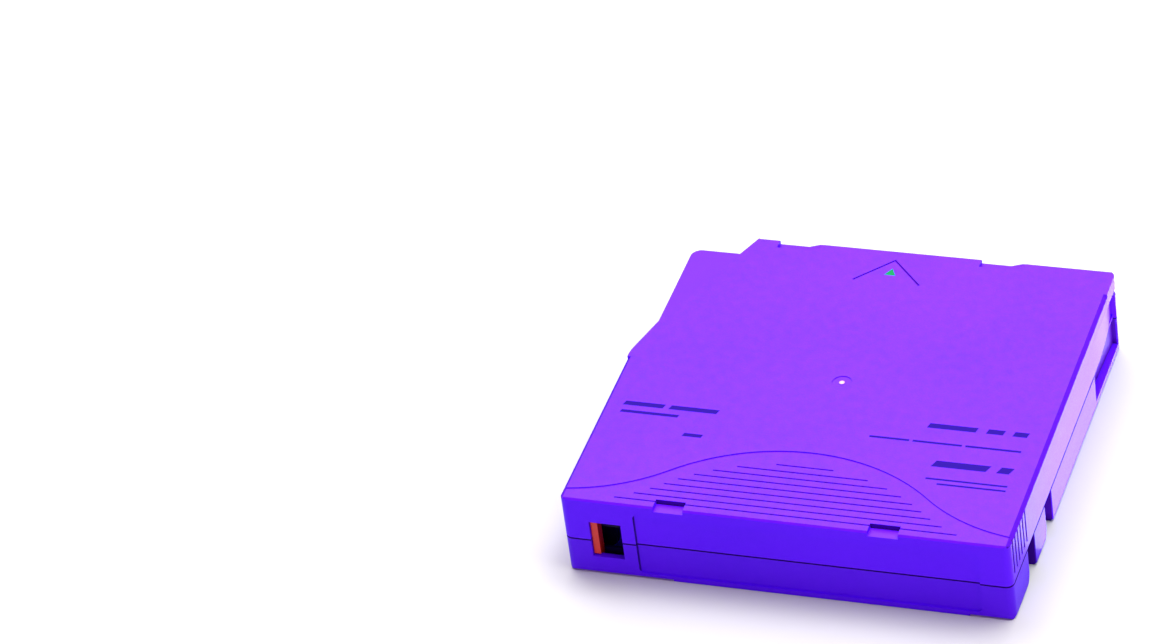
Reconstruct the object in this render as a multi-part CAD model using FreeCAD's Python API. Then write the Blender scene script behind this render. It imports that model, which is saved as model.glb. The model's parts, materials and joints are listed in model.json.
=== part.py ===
"""Half-inch data tape cartridge with a single reel, at real size in millimetres.

Origin at the centre of the underside.  X runs across the label face, Y from the
label face to the insertion face, Z up.  Each node is written to its own STEP file.
"""

import FreeCAD
import Part
import os
from math import asin, atan2, cos, degrees, pi, radians, sin, sqrt, tan

V = FreeCAD.Vector
UP = V(0, 0, 1)

# ---- case -------------------------------------------------------------------
case_width = 105.4
case_depth = 102.0
case_height = 21.5
seam_height = 9.65
wall = 1.6
near_corner_radius = 1.8
far_corner_radius = 2.2
side_bevel = 0.9
side_bevel_from_far = (9.0, 49.5)
face_bevel = 0.4
near_bevel = 0.5
near_bevel_over = (8.0, 3.0)
underside_bevel = 0.7
seam_groove = 0.25
lip_height = 0.7
lip_thickness = 0.7
lip_clearance = 0.1

left = -case_width / 2
right = case_width / 2
near = -case_depth / 2
far = case_depth / 2
ceiling = case_height - wall

# ---- reel and tape ----------------------------------------------------------
reel_clearance = 0.9
rail_to_reel = 0.4
hub_radius = 22.0
hub_wall = 2.5
flange_thickness = 1.1
flange_margin = 1.5
tape_width = 12.65
tape_side_gap = 0.15
rest_ring_height = 0.3
rest_ring_width = 2.2
rest_gap = 0.1
web_height = 1.6
web_thickness = 1.6

reel_bottom = wall + rest_ring_height + rest_gap
tape_bottom = reel_bottom + flange_thickness + tape_side_gap
tape_top = tape_bottom + tape_width
flange_bottom = tape_top + tape_side_gap
reel_top = flange_bottom + flange_thickness
tape_middle = (tape_bottom + tape_top) / 2
hub_bore = hub_radius - hub_wall
web_bottom = reel_bottom + web_height
web_top = web_bottom + web_thickness

# ---- drive coupling and brake -------------------------------------------------
spindle_opening = hub_bore + 0.5
tooth_count = 60
teeth_length = 3.4
drive_teeth_out = hub_bore - 1.3
drive_teeth_in = drive_teeth_out - teeth_length
drive_teeth_height = 1.3
drive_tooth_share = 0.9
plate_radius = drive_teeth_in - 1.6
plate_hole = 4.0
plate_thickness = 0.9
plate_recess = 0.5
plate_clearance = 0.05
hub_mouth_flare = 0.4
foot_circle = (drive_teeth_in + drive_teeth_out) / 2
foot_radius = 1.8
foot_clearance = 0.3
foot_lift_room = 0.2
foot_pad = 0.6
release_centre = 4.6
release_nose = 2.4
release_thickness = 1.2
release_gap = 0.1
brake_travel = 2.0
brake_tooth_count = 36
brake_teeth_out = hub_bore - 1.1
brake_teeth_in = brake_teeth_out - teeth_length
brake_teeth_height = 1.4
brake_teeth_gap = 0.15
brake_tooth_share = 0.42
brake_disc = 1.5
brake_rim = 0.3
brake_boss_radius = 6.5
brake_boss_height = 7.0
key_width = 2.4
key_length = 9.0
key_clearance = 0.15
key_room = 0.6
key_socket_sink = 0.3
ball_radius = 1.2
ball_clearance = 0.02
brake_wire = 0.8
brake_turns = 4
brake_coil_steps = 18
brake_coil_gap = 0.3

release_bottom = web_top + release_gap
release_top = release_bottom + release_thickness
brake_tip = release_top + 0.4
brake_root = brake_tip + brake_teeth_height
brake_top = brake_root + brake_disc
brake_boss_top = brake_top + brake_boss_height

# ---- low corner over the tape opening -----------------------------------------
pin_end_room = 0.25
roof_thickness = 1.3
roof_inset_side = 1.85
roof_inset_far = 3.1
roof_corner_radius = 2.5
step_far_from_left = 17.9
step_knee_from_left = 3.7
step_knee_from_far = 34.0
step_start_from_far = 47.5
jog_start_from_far = 38.5
jog_length = 5.0
floor_lip = 2.6

# ---- leader pin -----------------------------------------------------------------
pin_from_left = 7.4
pin_from_far = 10.0
pin_button_radius = 2.4
pin_button = 0.9
pin_shank_radius = 1.15
pin_overhang = 1.05
nest_clearance = 0.2
nest_wall = 0.9
nest_pad_gap = 0.1
nest_cover_gap = 0.05
nest_start = -105.0
nest_end = 60.0
hook_start = 75.0
hook_end = 195.0
strip_clearance = 0.1
strip_knee_from_pin = 1.5
strip_end_from_pin = 7.5
clip_wall = 0.75
clip_mouth = 100.0
clip_end = 0.2
strip = 0.3
leader_thickness = 0.1
leader_stand_off = 0.12
leader_end_gap = 0.02
clip_clearance = 0.03

pin_x = left + pin_from_left
pin_y = far - pin_from_far
pin_bottom = tape_bottom - pin_overhang
pin_top = tape_top + pin_overhang
roof_underside = pin_top + pin_end_room
roof_top = roof_underside + roof_thickness

# ---- access door ------------------------------------------------------------------
door_thickness = 1.2
door_clearance = 0.25
door_travel = 27.0
door_post = 2.5
door_end_gap = 0.2
door_lug_depth = 0.55
door_lug_length = 1.8
door_lug_top = 6.0
door_lug_over_floor = 0.3
door_rib_count = 4
door_rib_height = 0.2
door_rib_width = 0.6
door_rib_pitch = 1.6
door_rib_first = 5.0
door_rib_bottom = 6.2
door_rib_top = 12.8
bracket_half = 1.5
bracket_gap = 0.1
rail_thickness = 0.5
rail_height = 1.6
upper_rail_height = 1.3
door_run_out = 1.0
spring_wire = 0.3
spring_radius = 0.85
spring_turns = 14
spring_coil_steps = 8
spring_length = 44.0
spring_bracket = 1.2
spring_seat_gap = 0.05
spring_post_over = 1.6

door_outer = left + roof_inset_side
door_inner = door_outer + door_thickness
door_front = far - roof_inset_far - door_post - door_end_gap
door_rear = far - jog_start_from_far + 0.7
door_bottom = wall + door_clearance
door_top = roof_underside - door_clearance
opening_rear = far - jog_start_from_far + 1.5
rail_outer = door_inner + door_clearance
rail_inner = rail_outer + rail_thickness
spring_x = (left + wall + rail_inner) / 2
door_way_rear = door_rear - door_travel - door_run_out

# the reel fills the room between the near and far walls and beside the door's rail
reel_radius = min(far - wall - reel_clearance, -rail_inner - rail_to_reel)
pack_radius = reel_radius - flange_margin

# ---- write-protect tab ---------------------------------------------------------------
window_from_left = 6.4
window_width = 7.6
window_bottom = 4.85
window_height = 10.0
tab_cover = 0.85
tab_thickness = 1.5
tab_nub = 1.0
tab_nub_width = 1.7
tab_clearance = 0.1
tab_end_gap = 0.2
tab_travel = 5.7
tab_run_out = 1.1
tab_guide = 0.7
tab_guide_height = 1.3
hold_down_from_left = 1.3
hold_down_from_right = 1.7
hold_down_bottom = 11.3
tab_nub_side_gap = 0.1
tab_nub_end_gap = 0.3

window_left = left + window_from_left
window_right = window_left + window_width
tab_bottom = window_bottom - tab_cover
tab_height = window_height + 2 * tab_cover
tab_left = left + wall + tab_end_gap
tab_front = near + wall + tab_clearance
tab_back = tab_front + tab_thickness
tab_end = window_left + tab_nub_width + tab_travel + tab_run_out

# ---- details of the outside ------------------------------------------------------------
grip_depth = 0.25
crown_from_near = 24.9
foot_from_near = 3.0
crown_radius = 46.0
foot_arc_radius = 42.0
groove_count = 9
groove_pitch = 2.17
groove_first_from_near = 19.7
groove_shift = 4.7
groove_width = 0.45
groove_depth = 0.3
side_groove_count = 6
side_groove_pitch = 2.2
side_groove_first = 2.8
side_groove_width = 0.9
side_groove_depth = 0.45
side_groove_bottom = 11.6
label_from_left = 17.2
label_from_right = 7.5
label_bottom = 1.3
label_top = 18.6
label_depth = 0.5
label_radius = 1.4
pocket_width = 7.1
pocket_length = 3.1
pocket_depth = 1.3
near_pockets = (22.4, 72.7)
far_pockets = (23.1, 72.9)
pocket_ramp = 4.0
arrow_half_width = 8.1
arrow_length = 8.7
arrow_from_far = 3.8
arrow_line = 0.5
arrow_depth = 0.2
gate_radius = 2.35
gate_nub = 0.7

notch_far_from_near = (19.7, 35.4)
notch_width = 6.2
notch_depth = 2.2
notch_round = 3.5
scoop_start_from_far = 24.0
scoop_end_from_far = 2.5
scoop_depth = 1.4
scoop_low_depth = 2.2
scoop_low_from_far = 24.7
scoop_flange = 2.0
scoop_top = 18.0
corner_neck = 1.0
corner_neck_height = 1.8
corner_neck_from_scoop = 15.0

# ---- screws, datum holes, memory ----------------------------------------------------------
screw_radius = 1.0
screw_length = 13.0
head_radius = 2.0
head_height = 1.4
head_sink = 1.0
head_clearance = 0.2
head_seat_gap = 0.02
head_slot_length = 2.2
head_slot_width = 0.56
head_slot_depth = 0.7
screw_clearance = 0.1
screw_tip_room = 0.5
boss_radius = 2.8
screw_insets = ((6.2, 10.0), (6.9, 13.0), (6.7, 6.5), (18.2, 4.8))
datum_radius = 2.2
datum_depth = 5.0
datum_wall = 1.2
datum_round_at = (7.2, 20.5)
datum_slot_at = (6.7, 21.0)
datum_slot_extra = 1.0
rib_gap = 1.5
rib_thickness = 1.0
guard_rib_spans = ((31.0, 60.0), (211.0, 243.0), (308.0, 330.0))
board_length = 18.0
board_height = 10.0
board_thickness = 0.8
board_from_right = 6.6
board_from_near = 2.0
board_clearance = 0.1


# ---- basic forms ------------------------------------------------------------------------------
def box(x0, x1, y0, y1, z0, z1):
    return Part.makeBox(x1 - x0, y1 - y0, z1 - z0, V(x0, y0, z0))


def cylinder(radius, z0, z1, x=0.0, y=0.0):
    return Part.makeCylinder(radius, z1 - z0, V(x, y, z0))


def eight_sided(radius, z0, z1, x=0.0, y=0.0):
    """Eight-sided post or hole around a circle of the given radius."""
    reach = radius / cos(pi / 8)
    angles = [pi / 8 + i * pi / 4 for i in range(8)]
    points = [(x + reach * cos(angle), y + reach * sin(angle)) for angle in angles]
    return extrude_plan(polygon_edges(points), z0, z1)


def ring(inner, outer, z0, z1, x=0.0, y=0.0):
    return cylinder(outer, z0, z1, x, y).cut(cylinder(inner, z0 - 1, z1 + 1, x, y))


def line(a, b):
    return Part.LineSegment(a, b).toShape()


def arc(a, b, c):
    return Part.Arc(a, b, c).toShape()


def extrude_plan(edges, z0, z1):
    """Solid between two heights over a closed plan outline."""
    face = Part.Face(Part.Wire(edges))
    face.translate(V(0, 0, z0))
    return face.extrude(V(0, 0, z1 - z0))


def polygon_edges(points):
    corners = [V(x, y, 0) for x, y in points]
    return [line(a, b) for a, b in zip(corners, corners[1:] + corners[:1])]


def plan_block(corners, inset, z0, z1):
    """Solid over a counter-clockwise outline of (x, y, radius) corners, moved inwards."""
    count = len(corners)
    sides = []
    for i in range(count):
        a = V(corners[i][0], corners[i][1], 0)
        b = V(corners[(i + 1) % count][0], corners[(i + 1) % count][1], 0)
        along = (b - a).normalize()
        inward = V(-along.y, along.x, 0)
        sides.append((a + inward * inset, along))
    points = []
    for i in range(count):
        p, d = sides[i - 1]
        q, e = sides[i]
        cross = d.x * e.y - d.y * e.x
        step = ((q.x - p.x) * e.y - (q.y - p.y) * e.x) / cross
        radius = corners[i][2] - inset if cross > 0 else corners[i][2] + inset
        points.append((p + d * step, d, e, max(radius, 0.2) if corners[i][2] > 0 else 0.0))
    edges = []
    last = None
    first = None
    for point, d, e, radius in points:
        turn = atan2(d.x * e.y - d.y * e.x, d.x * e.x + d.y * e.y)
        reach = abs(radius * tan(turn / 2))
        start = point - d * reach
        end = point + e * reach
        if last is not None:
            edges.append(line(last, start))
        else:
            first = start
        if reach > 1e-6:
            side = V(-d.y, d.x, 0) * (1 if turn > 0 else -1)
            centre = start + side * radius
            middle = centre + (point - centre).normalize() * radius
            edges.append(arc(start, middle, end))
        last = end
    edges.append(line(last, first))
    return extrude_plan(edges, z0, z1)


def sector(inner, outer, start, end, z0, z1, x=0.0, y=0.0):
    """Part of a ring between two angles in degrees."""
    def at(radius, angle):
        return V(x + radius * cos(radians(angle)), y + radius * sin(radians(angle)), 0)
    middle = (start + end) / 2
    edges = [
        arc(at(outer, start), at(outer, middle), at(outer, end)),
        line(at(outer, end), at(inner, end)),
        arc(at(inner, end), at(inner, middle), at(inner, start)),
        line(at(inner, start), at(outer, start)),
    ]
    return extrude_plan(edges, z0, z1)


def turned(profile):
    """Solid of revolution about Z from (radius, height) points."""
    points = [V(r, 0, z) for r, z in profile]
    wire = Part.makePolygon(points + points[:1])
    return Part.Face(wire).revolve(V(0, 0, 0), UP, 360)


def turn(shape, angle):
    copy = shape.copy()
    copy.rotate(V(0, 0, 0), UP, angle)
    return copy


def move(shape, x, y, z):
    copy = shape.copy()
    copy.translate(V(x, y, z))
    return copy


def crown_teeth(inner, outer, base, tip, count, share, angles):
    """Radial teeth on a flat ring; share is the tooth's part of its pitch at the inner radius."""
    half = share * pi * inner / count
    flat = half * 0.16
    root = base - (tip - base) * 0.1
    section = Part.makePolygon([
        V(inner, -half, root),
        V(inner, half, root),
        V(inner, flat, tip),
        V(inner, -flat, tip),
        V(inner, -half, root),
    ])
    tooth = Part.Face(section).extrude(V(outer - inner, 0, 0))
    return [turn(tooth, angle) for angle in angles]


def coil(radius, wire_radius, length, turns, steps):
    """Spring along +Z from the origin, its wire four-sided and bent in short straight steps."""
    count = turns * steps
    angles = [2 * pi * i / steps for i in range(count + 1)]
    path = [V(radius * cos(a), radius * sin(a), length * i / count) for i, a in enumerate(angles)]
    along = (path[1] - path[0]).normalize()
    out = along.cross(UP).normalize()
    side = along.cross(out)
    spokes = [out, side, out * -1, side * -1, out]
    section = Part.makePolygon([path[0] + spoke * wire_radius for spoke in spokes])
    return Part.Wire(Part.makePolygon(path)).makePipeShell([section], True, False, 1)


# ---- shared outlines -----------------------------------------------------------------------------
full_outline = (
    (left, near, near_corner_radius),
    (right, near, near_corner_radius),
    (right, far, far_corner_radius),
    (left, far, far_corner_radius),
)

step_far_x = left + step_far_from_left
knee = (left + step_knee_from_left, far - step_knee_from_far)
step_slope = (step_far_x - knee[0]) / step_knee_from_far

low_outline = (
    (left, near, near_corner_radius),
    (right, near, near_corner_radius),
    (right, far, far_corner_radius),
    (step_far_x, far, 0.4),
    (step_far_x - roof_inset_far * step_slope, far - roof_inset_far, 0.4),
    (door_outer, far - roof_inset_far, roof_corner_radius),
    (door_outer, far - jog_start_from_far + jog_length, 0.6),
    (left, far - jog_start_from_far, 0.6),
)

top_outline = (
    (left, near, near_corner_radius),
    (right, near, near_corner_radius),
    (right, far, far_corner_radius),
    (step_far_x, far, 0.6),
    (knee[0], knee[1], 6.0),
    (left, far - step_start_from_far, 12.0),
)

screw_places = (
    (left + screw_insets[0][0], near + screw_insets[0][1]),
    (right - screw_insets[1][0], near + screw_insets[1][1]),
    (right - screw_insets[2][0], far - screw_insets[2][1]),
    (left + screw_insets[3][0], far - screw_insets[3][1]),
)


def shell_lip(height, clearance):
    """Tongue of the lower shell that stands in the upper shell, or the room for it."""
    outer = wall - lip_thickness - clearance
    inner = wall + clearance
    tongue = plan_block(low_outline, outer, seam_height, seam_height + height)
    return tongue.cut(plan_block(low_outline, inner, seam_height - 1, seam_height + height + 1))


def grip_curve():
    """Centres of the crown and foot arcs that bound the grip area."""
    crown_y = near + crown_from_near - crown_radius
    foot_y = near + foot_from_near + foot_arc_radius
    reach = crown_radius + foot_arc_radius
    foot_x = sqrt(reach ** 2 - (foot_y - crown_y) ** 2)
    return crown_y, foot_x, foot_y


def grip_half_width(y):
    crown_y, foot_x, foot_y = grip_curve()
    join_y = crown_y + (foot_y - crown_y) * crown_radius / (crown_radius + foot_arc_radius)
    if y > join_y:
        return sqrt(max(crown_radius ** 2 - (y - crown_y) ** 2, 0.0))
    return foot_x - sqrt(foot_arc_radius ** 2 - (y - foot_y) ** 2)


def grip_area():
    """Region between the label edge and the bell-shaped line, above the lowered grip."""
    crown_y, foot_x, foot_y = grip_curve()
    share = crown_radius / (crown_radius + foot_arc_radius)
    join = V(foot_x * share, crown_y + (foot_y - crown_y) * share, 0)
    end_x = right + 1
    end = V(end_x, foot_y - sqrt(foot_arc_radius ** 2 - (end_x - foot_x) ** 2), 0)
    mid_x = (join.x + end.x) / 2
    mid = V(mid_x, foot_y - sqrt(foot_arc_radius ** 2 - (mid_x - foot_x) ** 2), 0)

    def mirrored(p):
        return V(-p.x, p.y, 0)
    low = near - 1
    edges = [
        arc(join, V(0, crown_y + crown_radius, 0), mirrored(join)),
        arc(mirrored(join), mirrored(mid), mirrored(end)),
        line(mirrored(end), V(-end.x, low, 0)),
        line(V(-end.x, low, 0), V(end.x, low, 0)),
        line(V(end.x, low, 0), end),
        arc(end, mid, join),
    ]
    return extrude_plan(edges, case_height - grip_depth, case_height + 1)


def ridge_cut(length, width, depth):
    """V-shaped cutter along X, centred, with its mouth at z = 0."""
    points = [V(0, -width / 2, 0), V(0, width / 2, 0), V(0, 0, -depth), V(0, -width / 2, 0)]
    cutter = Part.Face(Part.makePolygon(points)).extrude(V(length, 0, 0))
    cutter.translate(V(-length / 2, 0, 0))
    return cutter


def edge_bevel(a, b, size, outward):
    """Cutter that takes a 45 degree bevel off a top edge from a to b."""
    over = 0.5
    inner = a - outward * size
    outer = a + outward * over
    section = Part.makePolygon([
        inner,
        outer - UP * (size + over),
        outer + UP * over,
        inner + UP * over,
        inner,
    ])
    return Part.Face(section).extrude(b - a)


def grip_grooves():
    cutters = []
    grip_z = case_height - grip_depth
    for i in range(groove_count):
        y = near + groove_first_from_near - i * groove_pitch
        half = grip_half_width(y + groove_shift)
        cutters.append(move(ridge_cut(2 * half, groove_width, groove_depth), 0, y, grip_z))
    return cutters


def side_grooves():
    cutters = []
    flute = Part.makePolygon([
        V(0, -side_groove_width / 2, 0),
        V(0, side_groove_width / 2, 0),
        V(-side_groove_depth, side_groove_width / 4, 0),
        V(-side_groove_depth, -side_groove_width / 4, 0),
        V(0, -side_groove_width / 2, 0),
    ])
    height = case_height - side_bevel - side_groove_bottom
    flute = Part.Face(flute).extrude(V(0, 0, height))
    for i in range(side_groove_count):
        y = near + side_groove_first + i * side_groove_pitch
        right_flute = move(flute, right, y, side_groove_bottom)
        cutters.append(right_flute)
        cutters.append(right_flute.mirror(V(0, 0, 0), V(1, 0, 0)))
    return cutters


def insertion_arrow():
    """Two engraved strokes that meet at the apex."""
    apex = V(0, far - arrow_from_far, case_height)
    angle = degrees(atan2(arrow_length, arrow_half_width))
    length = sqrt(arrow_length ** 2 + arrow_half_width ** 2)
    stroke = box(-length, arrow_line / 2, -arrow_line / 2, arrow_line / 2, -arrow_depth, 1)
    first = stroke.copy()
    first.rotate(V(0, 0, 0), UP, angle)
    second = first.mirror(V(0, 0, 0), V(1, 0, 0))
    return [move(first, *apex), move(second, *apex)]


def gate_mark():
    recess = cylinder(gate_radius, case_height - arrow_depth, case_height + 1)
    return recess.cut(cylinder(gate_nub, case_height - 1, case_height - 0.05))


def pocket_places():
    near_side = [(left + x, near) for x in near_pockets]
    far_side = [(left + x, far) for x in far_pockets]
    return near_side, far_side


def top_pockets():
    """Shallow pockets that open through the label edge and the insertion edge."""
    near_side, far_side = pocket_places()
    cutters = []
    floor = case_height - grip_depth - pocket_depth + 0.1
    for x, y in near_side:
        cutters.append(box(x, x + pocket_width, y - 1, y + pocket_length, floor, case_height + 1))
    depth = pocket_depth
    for x, y in far_side:
        profile = Part.makePolygon([
            V(x, 0, case_height + 1),
            V(x, 0, case_height - depth),
            V(x + pocket_width, 0, case_height - depth),
            V(x + pocket_width + pocket_ramp, 0, case_height),
            V(x + pocket_width + pocket_ramp, 0, case_height + 1),
            V(x, 0, case_height + 1),
        ])
        cutter = Part.Face(profile).extrude(V(0, pocket_length + 1, 0))
        cutters.append(move(cutter, 0, y - pocket_length, 0))
    return cutters


def pocket_backs():
    """Thickened plate under the pockets."""
    near_side, far_side = pocket_places()
    backs = []
    low, high = ceiling - pocket_depth, ceiling + 0.2
    reach = pocket_length + wall
    for x, y in near_side:
        backs.append(box(x - 1, x + pocket_width + 1, y + wall / 2, y + reach, low, high))
    for x, y in far_side:
        end = x + pocket_width + pocket_ramp - 1
        backs.append(box(x - 1, end, y - reach, y - wall / 2, low, high))
    return backs


def label_recess():
    """Shallow recess of the label face, across both shells."""
    corners = (
        (left + label_from_left, label_bottom, label_radius),
        (right - label_from_right, label_bottom, label_radius),
        (right - label_from_right, label_top, label_radius),
        (left + label_from_left, label_top, label_radius),
    )
    block = plan_block(corners, 0.0, -label_depth, 1)
    block.rotate(V(0, 0, 0), V(1, 0, 0), 90)
    return move(block, 0, near, 0)


def tab_window():
    return box(window_left, window_right, near - 1, near + wall + 1,
               window_bottom, window_bottom + window_height)


def scoop_cut():
    """Finger scoop of the right side, smooth in the upper shell, square in the lower one."""
    start = far - scoop_start_from_far
    end = far - scoop_end_from_far
    middle = (start + end) / 2
    edges = [
        arc(V(right, start, 0), V(right - scoop_depth / 4, middle, 0), V(right - scoop_depth, end, 0)),
        line(V(right - scoop_depth, end, 0), V(right + 1, end, 0)),
        line(V(right + 1, end, 0), V(right + 1, start, 0)),
        line(V(right + 1, start, 0), V(right, start, 0)),
    ]
    upper = extrude_plan(edges, seam_height, scoop_top)
    low_start = far - scoop_low_from_far
    lower = extrude_plan(polygon_edges([
        (right + 1, low_start),
        (right + 1, end),
        (right - scoop_depth, end),
        (right - scoop_low_depth, low_start),
    ]), scoop_flange, seam_height)
    neck = box(right - corner_neck, right + 1, start + corner_neck_from_scoop, far + 1,
               scoop_top - corner_neck_height, scoop_top)
    return upper, lower, neck


def side_notches():
    """Notches of the lower shell's right wall, with rounded lower corners between them."""
    cutters = []
    for distance in notch_far_from_near:
        edge = near + distance
        start = edge - notch_width
        cutters.append(box(right - notch_depth, right + 1, start, edge, -1, seam_height))
        corner = box(right - notch_depth, right + 1, start - notch_round, start + 0.1, -1, notch_round)
        round_off = Part.makeCylinder(notch_round, notch_depth + 2,
                                      V(right - notch_depth - 0.5, start - notch_round, notch_round),
                                      V(1, 0, 0))
        cutters.append(corner.cut(round_off))
    return cutters


def wall_backs(z0, z1):
    """Extra wall behind the scoop and the notches."""
    inner = right - notch_depth - wall
    outer = right - wall / 2
    notch_start = near + notch_far_from_near[0] - notch_width - wall
    notch_end = near + notch_far_from_near[1] + wall
    backs = [box(inner, outer, far - scoop_low_from_far - wall, far - wall / 2, z0, z1)]
    backs.append(box(inner, outer, notch_start, notch_end, z0, z1))
    return backs


def guard_ribs(z0, z1):
    """Curved ribs that keep the tape pack in place at three corners."""
    inner = reel_radius + rib_gap
    outer = inner + rib_thickness
    return [sector(inner, outer, start, end, z0, z1) for start, end in guard_rib_spans]


def door_channel():
    """Free way of the door and its spring along the left wall."""
    front = door_front + door_end_gap
    way = box(left + wall, rail_outer, door_way_rear, front, wall, roof_underside)
    opening = box(left - 1, rail_inner, opening_rear, front, floor_lip, roof_underside)
    return way.fuse(opening)


def pin_nest(z0, z1):
    """U-shaped nest around one end of the leader pin, open towards the left."""
    inner = pin_button_radius + nest_clearance
    return sector(inner, inner + nest_wall, nest_start, nest_end, z0, z1, pin_x, pin_y)


def seam_line():
    """Narrow groove around the parting line, as deep in the label recess as beside it."""
    low = seam_height - seam_groove
    outer = plan_block(full_outline, -1.0, low, seam_height)
    around = outer.cut(plan_block(full_outline, seam_groove, low - 1, seam_height + 1))
    across_label = box(left + label_from_left, right - label_from_right, near - 1,
                       near + label_depth + seam_groove, low, seam_height)
    return around.fuse(across_label)


# ---- shells --------------------------------------------------------------------------------------
def make_upper_shell():
    body = plan_block(low_outline, 0.0, seam_height, roof_top)
    body = body.fuse(plan_block(top_outline, 0.0, roof_top - 0.01, case_height))
    hollow = plan_block(low_outline, wall, seam_height - 1, roof_underside)
    hollow = hollow.fuse(plan_block(top_outline, wall, roof_underside - 0.01, ceiling))
    body = body.cut(hollow)

    cavity = plan_block(low_outline, wall / 2, seam_height, ceiling)
    ribs = pocket_backs() + wall_backs(seam_height, ceiling + 0.1)
    ribs += guard_ribs(seam_height + 0.3, ceiling + 0.1)
    for x, y in screw_places:
        ribs.append(eight_sided(boss_radius, seam_height, ceiling + 0.1, x, y))
    ribs.append(box(left + wall / 2, rail_inner, door_way_rear, opening_rear,
                    roof_underside, roof_top))
    ribs.append(box(rail_outer, rail_inner, door_way_rear, door_front,
                    roof_underside - upper_rail_height, roof_underside + 0.1))
    tab_top = tab_bottom + tab_height + tab_clearance
    ribs.append(box(left + wall / 2, tab_end, near + wall / 2, tab_back + tab_clearance + tab_guide,
                    tab_top, ceiling + 0.1))
    ribs.append(box(window_left + hold_down_from_left, window_right - hold_down_from_right,
                    tab_back + tab_clearance, tab_back + tab_clearance + tab_guide,
                    hold_down_bottom, tab_top + 0.1))
    ribs.append(pin_nest(pin_top - pin_button + nest_cover_gap, roof_underside + 0.1))
    ribs.append(brake_key(0.0, ceiling + 0.1))
    body = body.multiFuse([rib.common(cavity) for rib in ribs])

    upper_scoop, lower_scoop, neck = scoop_cut()
    cutters = [grip_area(), label_recess(), tab_window(), upper_scoop, neck, gate_mark()]
    cutters += top_pockets() + grip_grooves() + side_grooves() + insertion_arrow()
    right_end, left_end = far - side_bevel_from_far[0], far - side_bevel_from_far[1]
    cutters.append(edge_bevel(V(right, near - 1, case_height), V(right, right_end, case_height),
                              side_bevel, V(1, 0, 0)))
    cutters.append(edge_bevel(V(left, near - 1, case_height), V(left, left_end, case_height),
                              side_bevel, V(-1, 0, 0)))
    cutters.append(edge_bevel(V(left - 1, near, case_height - grip_depth),
                              V(right + 1, near, case_height - grip_depth),
                              face_bevel, V(0, -1, 0)))
    cutters.append(edge_bevel(V(step_far_x, far, case_height), V(right + 1, far, case_height),
                              face_bevel, V(0, 1, 0)))
    cutters.append(door_channel())
    cutters.append(shell_lip(lip_height + lip_clearance, lip_clearance))
    for x, y in screw_places:
        cutters.append(eight_sided(screw_radius + screw_clearance / 2, seam_height - 1,
                                   head_sink + head_height + screw_length + screw_tip_room, x, y))
    return body.cut(cutters).removeSplitter()


def brake_key(clearance, top):
    """Cross-shaped key that stops the brake gear from turning."""
    half = key_length / 2 + clearance
    thin = key_width / 2 + clearance
    bottom = brake_top + brake_travel + key_room
    if clearance > 0:
        bottom = brake_top - key_socket_sink
    return box(-half, half, -thin, thin, bottom, top).fuse(box(-thin, thin, -half, half, bottom, top))


def make_lower_shell():
    body = plan_block(full_outline, 0.0, 0.0, floor_lip)
    body = body.fuse(plan_block(low_outline, 0.0, floor_lip - 0.01, seam_height))
    body = body.cut(plan_block(low_outline, wall, wall, seam_height + 1))

    cavity = plan_block(low_outline, wall / 2, 0.0, case_height)
    ribs = wall_backs(wall / 2, seam_height) + guard_ribs(wall / 2, seam_height - 0.3)
    for x, y in screw_places:
        ribs.append(eight_sided(boss_radius, wall / 2, seam_height, x, y))
    ribs.append(cylinder(spindle_opening + rest_ring_width, wall / 2, wall + rest_ring_height))
    ribs.append(box(rail_outer, rail_inner, door_way_rear, door_front,
                    wall / 2, wall + rail_height))
    tab_shelf = tab_bottom - tab_clearance
    guide_back = tab_back + tab_clearance + tab_guide
    ribs.append(box(left + wall / 2, tab_end, near + wall / 2, guide_back, wall / 2, tab_shelf))
    ribs.append(box(left + wall / 2, tab_end, tab_back + tab_clearance, guide_back,
                    tab_shelf - 0.1, tab_shelf + tab_guide_height))
    ribs.append(pin_nest(wall / 2, pin_bottom + pin_button - nest_cover_gap))
    ribs.append(cylinder(pin_button_radius + nest_clearance + 0.1, wall / 2, pin_bottom - nest_pad_gap,
                         pin_x, pin_y))
    ribs += datum_bosses() + memory_ledges() + [spring_post()]
    body = body.multiFuse([rib.common(cavity) for rib in ribs])
    beside_door = box(left - 1, rail_inner, far - jog_start_from_far - 1,
                      door_front + door_end_gap, 0, case_height)
    body = body.fuse(shell_lip(lip_height, 0.0).cut(beside_door))

    upper_scoop, lower_scoop, neck = scoop_cut()
    cutters = [label_recess(), tab_window(), lower_scoop, seam_line(), door_channel()]
    cutters.append(cylinder(spindle_opening, -1, wall + 1))
    cutters += side_notches() + datum_holes()
    for x, y in screw_places:
        cutters.append(eight_sided(screw_radius + screw_clearance, -1, seam_height + 1, x, y))
        cutters.append(cylinder(head_radius + head_clearance, -1, head_sink + head_height, x, y))
    return body.cut(cutters + underside_bevels()).removeSplitter()


def underside_bevels():
    """Bevels under the two ends of the label face and along both sides."""
    label_left = left + label_from_left + near_bevel_over[0]
    label_right = right - label_from_right - near_bevel_over[1]
    bevels = [
        edge_bevel(V(left - 1, near, 0), V(label_left, near, 0), near_bevel, V(0, -1, 0)),
        edge_bevel(V(label_right, near, 0), V(right + 1, near, 0), near_bevel, V(0, -1, 0)),
        edge_bevel(V(right, near - 1, 0), V(right, far + 1, 0), underside_bevel, V(1, 0, 0)),
        edge_bevel(V(left, near - 1, 0), V(left, far + 1, 0), underside_bevel, V(-1, 0, 0)),
    ]
    return [bevel.mirror(V(0, 0, 0), UP) for bevel in bevels]


def datum_round_centre():
    return right - datum_round_at[0], far - datum_round_at[1]


def datum_slot_centre():
    return left + datum_slot_at[0], near + datum_slot_at[1]


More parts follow.
